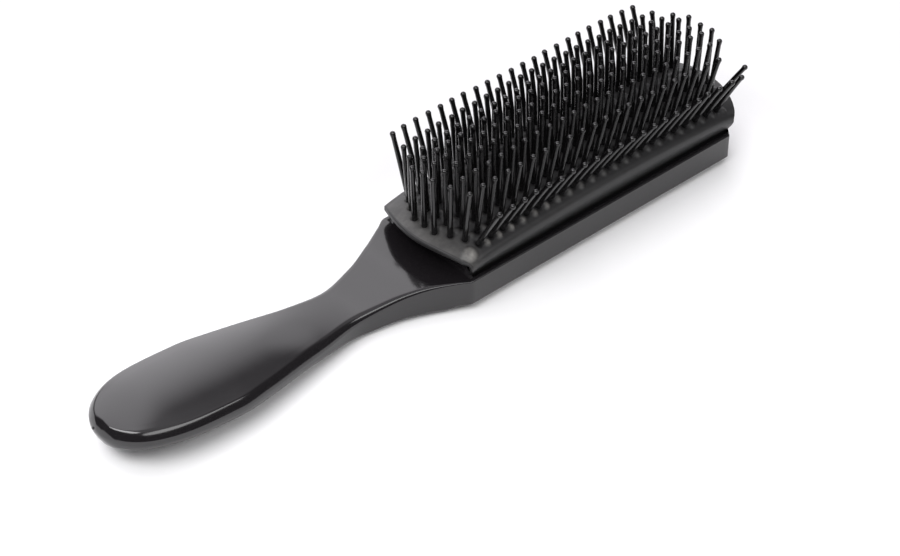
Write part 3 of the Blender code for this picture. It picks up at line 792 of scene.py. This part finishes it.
def pad_lines():
    """The lines that run along the pad, from its middle out to its foot.

    Each is a function of x for the outer point, one for the inner point and a half length.
    """
    lines = []
    for i in range(FIELD_LINES + 1):
        y = FIELD_HALF * i / FIELD_LINES
        lines.append((lambda x, y=y: (y, field_height(x, y)),
                      lambda x, y=y: inside(y, field_height(x, y), math.atan(field_slope(x, y))),
                      pad_end(y)))
    for i in range(1, SHOULDER_LINES + 1):
        t = i / SHOULDER_LINES

        def inner_shoulder(x, t=t):
            tilt = mix(math.atan(field_slope(x, FIELD_HALF)), math.pi / 2, t)
            return inside(*shoulder_point(x, t), tilt)

        lines.append((lambda x, t=t: tuple(shoulder_point(x, t)), inner_shoulder,
                      pad_end(shoulder_point(PAD_MID, t).x)))
    for i in range(1, FLANK_LINES + 1):
        t = i / FLANK_LINES

        def inner_flank(x, t=t):
            y, z = flank_point(x, t)
            turned = (widest_height(x) - z) / (widest_height(x) - FOOT_TOP)
            return y - mix(PAD_THICKNESS, PAD_NECK_SKIN, turned), z

        lines.append((lambda x, t=t: flank_point(x, t), inner_flank,
                      mix(PAD_SIDE_HALF, PAD_FOOT_HALF, t)))
    for y, z in ((FOOT_OUTER, BEAD_TOP + BEAD_SLOPE / 2), (BEAD_OUTER, BEAD_TOP - BEAD_SLOPE / 2),
                 (BEAD_OUTER, BEAD_BOTTOM)):
        lines.append((lambda x, y=y, z=z: (y, z), lambda x, z=z: (FOOT_OUTER - PAD_NECK_SKIN, z),
                      PAD_FOOT_HALF))
    return lines


def rim_of(grid):
    """The border of a grid of corners, once round."""
    rim = list(grid[0])
    rim += [row[-1] for row in grid[1:]]
    rim += list(reversed(grid[-1][:-1]))
    rim += [row[0] for row in reversed(grid[1:-1])]
    return rim


def pin_places(pins):
    """How far along the brush each pin of a row stands."""
    return [PAD_MID + (k - (pins - 1) / 2) * PIN_PITCH for k in range(pins)]


def pad_sides(half):
    """Grids of points over the outer and the inner side of the pad."""
    lines = [line + (1,) for line in reversed(half)] + [line + (-1,) for line in half[1:]]
    outer = np.zeros((len(lines), PAD_COLUMNS + 1, 3))
    inner = np.zeros_like(outer)
    for i, (outer_line, inner_line, length, side) in enumerate(lines):
        for j in range(PAD_COLUMNS + 1):
            along = math.sin((2 * j / PAD_COLUMNS - 1) * COLUMN_SPREAD) / math.sin(COLUMN_SPREAD)
            trim = tip_trim(outer_line(PAD_MID)[0]) * ease(TIP_CORNER_START_SHARE, 1, along)
            x = PAD_MID + length * along - trim
            y, z = outer_line(x)
            outer[i, j] = (x, side * y, z)
            y, z = inner_line(x)
            inner[i, j] = (x, side * y, z)
    return outer, inner


def outward(outer):
    """Unit vectors that point out of the pad at each point of its outer side."""
    normals = np.cross(np.gradient(outer, axis=0), np.gradient(outer, axis=1))
    normals /= np.linalg.norm(normals, axis=2, keepdims=True)
    if normals[len(outer) // 2, PAD_COLUMNS // 2, 2] < 0:
        normals = -normals
    return normals


def pad_relief(outer, top):
    """How far the bosses and pits raise each point of the outer side, and how dusty it is.

    Bosses stand between the pins, further out in the outer rows, and pits lie round the pins. A
    larger mound stands at the near corner above the shoulder. Dust lies on the bosses, less of
    it towards the tip, and on the end above the shoulder.
    """
    rise = np.zeros(top.shape)
    worn = np.zeros(top.shape)
    pits = np.zeros(top.shape)

    def dome(x, y, radius, stretch=1.0):
        """1 at a place on the top of the pad, falling to 0 a radius away."""
        away = np.hypot((outer[..., 0] - x) / stretch, outer[..., 1] - y) / radius
        return np.clip(1 - away ** 2, 0, 1) * top

    def boss(spot, height, dust):
        np.maximum(rise, height * spot, out=rise)
        np.maximum(worn, dust * spot, out=worn)

    for y_share, pins, *_ in ROWS:
        y = y_share * PAD_HALF
        for x in pin_places(pins):
            pits += PIT_DEPTH * dome(x, y, PIT_RADIUS)
            along = (x - PAD_MID + PAD_SIDE_HALF) / (2 * PAD_SIDE_HALF)
            dust = 1 - DUST_LOST_SHARE * ease(0, DUST_END_SHARE, along)
            if abs(y_share) == OUTER_ROW:
                spot = dome(x + PIN_PITCH / 2, y + math.copysign(BOSS_OUTWARD, y), BOSS_RADIUS)
                boss(spot, BOSS_HEIGHT * mix(LEAST_BOSS_SHARE, 1, dust), dust)
            else:
                spot = dome(x + PIN_PITCH / 2, y, BOSS_RADIUS)
                boss(spot, BOSS_HEIGHT / 2, INNER_DUST_SHARE * dust)

    near_share, near_pins = ROWS[0][:2]
    mound_x = pin_places(near_pins)[0] - CORNER_MOUND_AWAY
    mound_y = near_share * PAD_HALF - BOSS_OUTWARD
    mound = dome(mound_x, mound_y, CORNER_MOUND_RADIUS, CORNER_MOUND_STRETCH)
    boss(mound, CORNER_MOUND_HEIGHT, 1.0)
    margin = np.clip((END_DUST - outer[..., 0]) / (2 * END_DUST), 0, 1)
    np.maximum(worn, END_DUST_SHARE * margin * top, out=worn)
    return rise - pits, worn


def round_border(bm, layer, outer_rim, inner_rim):
    """Join the two sides of the pad round their border with a rounded edge."""
    middle = at(PAD_MID, 0, 0)
    rings = [outer_rim]
    for k in range(1, PAD_RIM_STEPS):
        angle = math.pi * k / PAD_RIM_STEPS
        ring = []
        for i, (upper, under) in enumerate(zip(outer_rim, inner_rim)):
            run = outer_rim[(i + 1) % len(outer_rim)].co - outer_rim[i - 1].co
            out = run.cross(upper.co - under.co).normalized()
            if out.dot(upper.co - middle) < 0:
                out = -out
            spot = upper.co.lerp(under.co, (1 - math.cos(angle)) / 2)
            vert = bm.verts.new(spot + out * PAD_RIM_RADIUS * math.sin(angle))
            vert[layer] = upper[layer]
            ring.append(vert)
        rings.append(ring)
    rings.append(inner_rim)
    skin_all(bm, rings)


def make_pad(material):
    """The crowned pad, with low bosses and pits on its top. It isn't pierced: the pins stand in
    the pits and run on through the rubber."""
    half = pad_lines()
    outer, inner = pad_sides(half)
    top = np.zeros(outer.shape[:2])
    sides = len(half) - FIELD_LINES - SHOULDER_LINES - 1
    top[sides:-sides, PAD_RIM_COLUMNS:-PAD_RIM_COLUMNS] = 1.0
    rise, worn = pad_relief(outer, top)
    outer += outward(outer) * rise[..., None]
    bm = bmesh.new()
    layer = bm.verts.layers.float.new("worn")

    def corner(point, wear):
        vert = bm.verts.new(at(*point))
        vert[layer] = wear
        return vert

    def sheet(points):
        """One side of the pad, which gives back its border."""
        grid = [[corner(points[i, j], worn[i, j]) for j in range(points.shape[1])]
                for i in range(points.shape[0])]
        skin_all(bm, grid, closed=False)
        return rim_of(grid)

    outer_rim = sheet(outer)
    inner_rim = sheet(inner)
    round_border(bm, layer, outer_rim, inner_rim)
    pad = new_piece("rubber_pad_skin", bm, material, "pad", 50)
    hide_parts("rubber_pad")


# Pins

PIN_SIDES = 14
SHAFT_RINGS = 7
BALL_RINGS = 7
BAR_RINGS = 40


def pin_profile(length):
    """(distance along the pin, radius) from its root in the bar to the end of its ball."""
    root = BAR_TOP - ROOT_SINK
    ball = length - PIN_BALL
    neck = ball - NECK_END
    profile = [(root, PIN_ROOT * ROOT_SWELL_SHARE), (0.0, PIN_ROOT * FOOT_SWELL_SHARE),
               (FOOT_LENGTH, PIN_ROOT)]
    for k in range(1, SHAFT_RINGS):
        t = k / SHAFT_RINGS
        profile.append((mix(FOOT_LENGTH, neck, t), mix(PIN_ROOT, PIN_NECK, t)))
    profile.append((neck, PIN_NECK))
    profile.append((ball - FLARE_START, PIN_NECK * FLARE_START_SHARE))
    start = math.asin(PIN_NECK * FLARE_END_SHARE / PIN_BALL)
    for k in range(BALL_RINGS):
        angle = mix(math.pi - start, 0, k / BALL_RINGS)
        profile.append((ball + PIN_BALL * math.cos(angle), PIN_BALL * math.sin(angle)))
    return profile


def row_centre(x, row_y):
    """The middle of the pad's thickness under a row."""
    tilt = math.copysign(math.atan(field_slope(PAD_MID, row_y)), row_y)
    y = row_y - PAD_THICKNESS / 2 * math.sin(tilt)
    z = field_height(x, row_y) - PAD_THICKNESS / 2 * math.cos(tilt)
    return at(x, y, z)


def add_pin(bm, base, tip, bow):
    """One pin from its base on the rocking line to its tip, bowed by a small vector."""
    length = (tip - base).length
    axis = (tip - base).normalized()
    side = axis.cross(Vector((1, 0, 0))).normalized()
    other = axis.cross(side)
    rings = []
    for distance, radius in pin_profile(length):
        t = distance / length
        centre = base + axis * distance + bow * (4 * t * (1 - t) if t > 0 else 0)
        ring = []
        for k in range(PIN_SIDES):
            angle = 2 * math.pi * k / PIN_SIDES
            ring.append(bm.verts.new(centre + side * radius * math.cos(angle)
                                     + other * radius * math.sin(angle)))
        rings.append(ring)
    skin_all(bm, rings)
    bm.faces.new(rings[0])
    end = bm.verts.new(tip)
    for i in range(PIN_SIDES):
        bm.faces.new((rings[-1][i], rings[-1][(i + 1) % PIN_SIDES], end))


def add_bar(bm, row_y, lean, places):
    """The slim bar under the pad that carries one row, leaning with it, its corners cut."""
    upper = BAR_TOP - BAR_CORNER
    lower = BAR_BOTTOM + BAR_CORNER
    section = ((-BAR_FLAT_SHARE, BAR_TOP), (BAR_FLAT_SHARE, BAR_TOP), (1.0, upper), (1.0, lower),
               (BAR_FLAT_SHARE, BAR_BOTTOM), (-BAR_FLAT_SHARE, BAR_BOTTOM), (-1.0, lower),
               (-1.0, upper))
    across = Vector((0, math.cos(lean), -math.sin(lean)))
    upward = Vector((0, math.sin(lean), math.cos(lean)))
    first = places[0] - PIN_ROOT * BAR_REACH_SHARE
    last = places[-1] + PIN_ROOT * BAR_REACH_SHARE
    rings = []
    for k in range(BAR_RINGS + 1):
        centre = row_centre(mix(first, last, k / BAR_RINGS), row_y)
        rings.append([bm.verts.new(centre + across * share * BAR_HALF + upward * z)
                      for share, z in section])
    skin_all(bm, rings)
    bm.faces.new(rings[0])
    bm.faces.new(rings[-1])


def along_row(values, share):
    """A value that a row has at its start, middle and end, read at a share of its length."""
    return follow(tuple(zip(ROW_KNOTS, values)), share)


def make_rows(material):
    """The nine moulded strips, each a bar with its row of pins."""
    chance = random.Random(SCATTER_SEED)
    for number, (y_share, pins, lengths, leans, sways) in enumerate(ROWS):
        row_y = y_share * PAD_HALF
        row_lean = math.radians(leans[1])
        bow = Vector((0, -PIN_BOW * math.sin(row_lean), 0))
        places = pin_places(pins)
        bm = bmesh.new()
        for k, x in enumerate(places):
            share = k / (pins - 1)
            bent_lean, bent_sway = BENT_PINS.get((number, k), (0, 0))
            length = along_row(lengths, share) * MM
            lean = math.radians(along_row(leans, share) + bent_lean
                                + chance.uniform(-LEAN_SCATTER, LEAN_SCATTER))
            sway = (along_row(sways, share) + bent_sway
                    + chance.uniform(-SWAY_SCATTER, SWAY_SCATTER)) * MM
            base = row_centre(x, row_y)
            reach = Vector((sway, length * math.sin(lean), length * math.cos(lean)))
            add_pin(bm, base, base + reach, bow)
        add_bar(bm, row_y, row_lean, places)
        piece = new_piece(f"pin_row_{number + 1}", bm, material, f"row_{number + 1}",
                          50)
        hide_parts(f"pin_strip_{number + 1}")


# Studio

# Radiances, where 1 shows as white
SCREEN_RADIANCE = 2.1
SWEEP_RADIANCE = 1.48
CEILING_RADIANCE = 0.72
ROOM_RADIANCE = 0.08
# Soft edges of what stands round the brush, in degrees, from dark to bright. Turn is 0 away from
# the camera and 90 to its right, and rise is 0 at the table and 90 overhead
SCREEN_LEFT_TURN = (-76, -42)
SCREEN_RIGHT_TURN = (22, -8)
SCREEN_FOOT_RISE = (4, 26)
SCREEN_FOOT_TURN = (-36, -16)
WING_TURN = (-120, -76)
WING_RISE = (42, 56)
SWEEP_RIGHT_TURN = (58, 14)
SWEEP_TOP_RISE = (50, 34)
CEILING_RISE = (40, 60)
# Whiteness of the table near the brush and further behind it, how far past the far wall or the
# tip the change runs, and its whiteness in the gloss
TABLE_WHITENESS = 1.12
TABLE_WHITENESS_FAR = 0.94
FAR_START = 8 * MM
FAR_END = 28 * MM
TABLE_IN_GLOSS = 1.05
TABLE_REACH = 6.0


def aim(azimuth, elevation):
    """Unit vector from the brush outwards; azimuth 0 is away from the camera, 90 its right."""
    turn = VIEW_TURN + math.radians(azimuth)
    rise = math.radians(elevation)
    return Vector((math.sin(turn) * math.cos(rise), math.cos(turn) * math.cos(rise),
                   math.sin(rise)))


def softbox(name, azimuth, elevation, distance, width, height, radiance):
    """An oval lamp that faces the brush. Its sizes are in metres."""
    data = bpy.data.lights.new(name, "AREA")
    data.shape = "ELLIPSE"
    data.size = width
    data.size_y = height
    data.energy = radiance * math.pi * (math.pi / 4 * width * height)
    lamp = bpy.data.objects.new(name, data)
    bpy.context.scene.collection.objects.link(lamp)
    direction = aim(azimuth, elevation)
    lamp.location = direction * distance
    lamp.rotation_mode = "QUATERNION"
    lamp.rotation_quaternion = direction.to_track_quat("Z", "Y")


def make_table():
    """A white table, matt, so that it takes the shadow of the brush. Seen by the camera or in
    the gloss it is whiter than the light it hands on to the brush, and just white where it lies
    behind the pins, so that the thin pins keep their width against it."""
    material, tree, place = start_material("white_table")
    fibres = add(tree, "ShaderNodeTexNoise", Vector=place, Scale=1 / (40 * MM), Detail=2.0)
    tone = add(tree, "ShaderNodeMix", {"data_type": "RGBA"}, _0=fibres.outputs["Fac"],
               _6=linear("#f1f1f2"), _7=linear("#f5f5f5"))
    path = add(tree, "ShaderNodeLightPath").outputs
    gloss = add(tree, "ShaderNodeMath", {"operation": "ADD"}, _0=path["Is Glossy Ray"],
                _1=path["Is Transmission Ray"])
    strength = add(tree, "ShaderNodeMath", {"operation": "MULTIPLY_ADD"},
                   _0=gloss.outputs["Value"], _1=TABLE_IN_GLOSS - 1, _2=1.0)
    spot = add(tree, "ShaderNodeSeparateXYZ", Vector=place)
    behind = add(tree, "ShaderNodeMath", {"operation": "SUBTRACT"}, _0=spot.outputs["Y"],
                 _1=HEAD_HALF)
    beyond = add(tree, "ShaderNodeMath", {"operation": "SUBTRACT"}, _0=spot.outputs["X"],
                 _1=ORIGIN.x + HEAD_LENGTH + TIP_BULGE)
    outside = add(tree, "ShaderNodeMath", {"operation": "MAXIMUM"}, _0=behind.outputs["Value"],
                  _1=beyond.outputs["Value"])
    whiteness = add(tree, "ShaderNodeMapRange", {"interpolation_type": "SMOOTHSTEP"},
                    Value=outside.outputs["Value"], From_Min=FAR_START, From_Max=FAR_END,
                    To_Min=TABLE_WHITENESS - 1, To_Max=TABLE_WHITENESS_FAR - 1)
    strength = add(tree, "ShaderNodeMath", {"operation": "MULTIPLY_ADD"},
                   _0=path["Is Camera Ray"], _1=whiteness.outputs["Result"],
                   _2=strength.outputs["Value"])
    colour = add(tree, "ShaderNodeVectorMath", {"operation": "SCALE"}, _0=tone.outputs[2],
                 Scale=strength.outputs["Value"])
    matt = add(tree, "ShaderNodeBsdfDiffuse", Color=colour.outputs["Vector"])
    end_material(tree, matt.outputs["BSDF"])
    bm = bmesh.new()
    bmesh.ops.create_grid(bm, x_segments=1, y_segments=1, size=TABLE_REACH)
    mesh = bpy.data.meshes.new("table")
    bm.to_mesh(mesh)
    bm.free()
    mesh.materials.append(material)
    table = bpy.data.objects.new("table", mesh)
    bpy.context.scene.collection.objects.link(table)


def make_world():
    """A dim room with a tall white screen behind and left of the brush, the pale sweep of the
    backdrop beside it and a grey ceiling, all with soft edges. The foot of the screen is raised
    at its left, and high up it has a wing that reaches further round."""
    world = bpy.data.worlds.new("studio")
    world.use_nodes = True
    tree = world.node_tree
    tree.nodes.clear()
    direction = add(tree, "ShaderNodeTexCoord").outputs["Generated"]
    across = add(tree, "ShaderNodeVectorMath", {"operation": "DOT_PRODUCT"}, _0=direction,
                 _1=aim(90, 0)).outputs["Value"]
    away = add(tree, "ShaderNodeVectorMath", {"operation": "DOT_PRODUCT"}, _0=direction,
               _1=aim(0, 0)).outputs["Value"]
    height = add(tree, "ShaderNodeSeparateXYZ", Vector=direction).outputs["Z"]

    def calculate(operation, *values):
        inputs = {f"_{i}": value for i, value in enumerate(values)}
        return add(tree, "ShaderNodeMath", {"operation": operation}, **inputs).outputs["Value"]

    def fade(value, start, end):
        """0 at the start angle and 1 at the end angle, both in degrees."""
        return add(tree, "ShaderNodeMapRange", {"interpolation_type": "SMOOTHSTEP"}, Value=value,
                   From_Min=math.radians(start), From_Max=math.radians(end)).outputs["Result"]

    turn = calculate("ARCTAN2", across, away)
    rise = calculate("ARCSINE", height)
    wing = calculate("MULTIPLY", fade(turn, *WING_TURN), fade(rise, *WING_RISE))
    left = calculate("MAXIMUM", fade(turn, *SCREEN_LEFT_TURN), wing)
    foot = calculate("MAXIMUM", fade(rise, *SCREEN_FOOT_RISE), fade(turn, *SCREEN_FOOT_TURN))
    left = calculate("MULTIPLY", left, foot)
    screen = calculate("MULTIPLY", left, fade(turn, *SCREEN_RIGHT_TURN))
    sweep = calculate("MULTIPLY", left, fade(turn, *SWEEP_RIGHT_TURN))
    sweep = calculate("MULTIPLY", sweep, fade(rise, *SWEEP_TOP_RISE))
    ceiling = calculate("MULTIPLY_ADD", fade(rise, *CEILING_RISE),
                        CEILING_RADIANCE - ROOM_RADIANCE, ROOM_RADIANCE)
    brightest = calculate("MAXIMUM", calculate("MULTIPLY", screen, SCREEN_RADIANCE),
                          calculate("MULTIPLY", sweep, SWEEP_RADIANCE))
    light = add(tree, "ShaderNodeBackground", Color=linear("#fdfbff"),
                Strength=calculate("MAXIMUM", brightest, ceiling))
    add(tree, "ShaderNodeOutputWorld", Surface=light.outputs["Background"])
    bpy.context.scene.world = world


def make_camera():
    """The photograph's camera. Its axis passes through the shoulder of the brush, which AXIS_PIXEL
    marks in the picture."""
    right = Vector((math.cos(VIEW_TURN), -math.sin(VIEW_TURN), 0))
    forward = -aim(180, VIEW_ELEVATION)
    up = right.cross(forward)
    data = bpy.data.cameras.new("camera")
    data.sensor_width = SENSOR
    data.lens = FOCAL_PIXELS / FRAME_WIDTH * SENSOR
    data.shift_x = (FRAME_WIDTH / 2 - AXIS_PIXEL[0]) / FRAME_WIDTH
    data.shift_y = (AXIS_PIXEL[1] - FRAME_HEIGHT / 2) / FRAME_WIDTH
    data.clip_start = NEAREST_SEEN
    camera = bpy.data.objects.new("camera", data)
    bpy.context.scene.collection.objects.link(camera)
    turn = Matrix((right, up, -forward)).transposed()
    camera.matrix_world = Matrix.Translation(ORIGIN - forward * VIEW_DISTANCE) @ turn.to_4x4()
    bpy.context.scene.camera = camera


make_camera()
make_table()
make_world()
softbox("left_lamp", azimuth=-142, elevation=54, distance=1.3, width=1.15, height=0.58,
        radiance=6.3)
softbox("right_lamp", azimuth=135, elevation=43, distance=1.3, width=1.55, height=0.38,
        radiance=3.6)

abs_plastic = polished_abs()
rubber = dusty_rubber()
nylon = satin_nylon()
make_handle(abs_plastic)
make_gate_mark(rubber)
make_pad(rubber)
make_rows(nylon)

bpy.context.scene.view_settings.view_transform = "Standard"

bpy.context.view_layer.update()
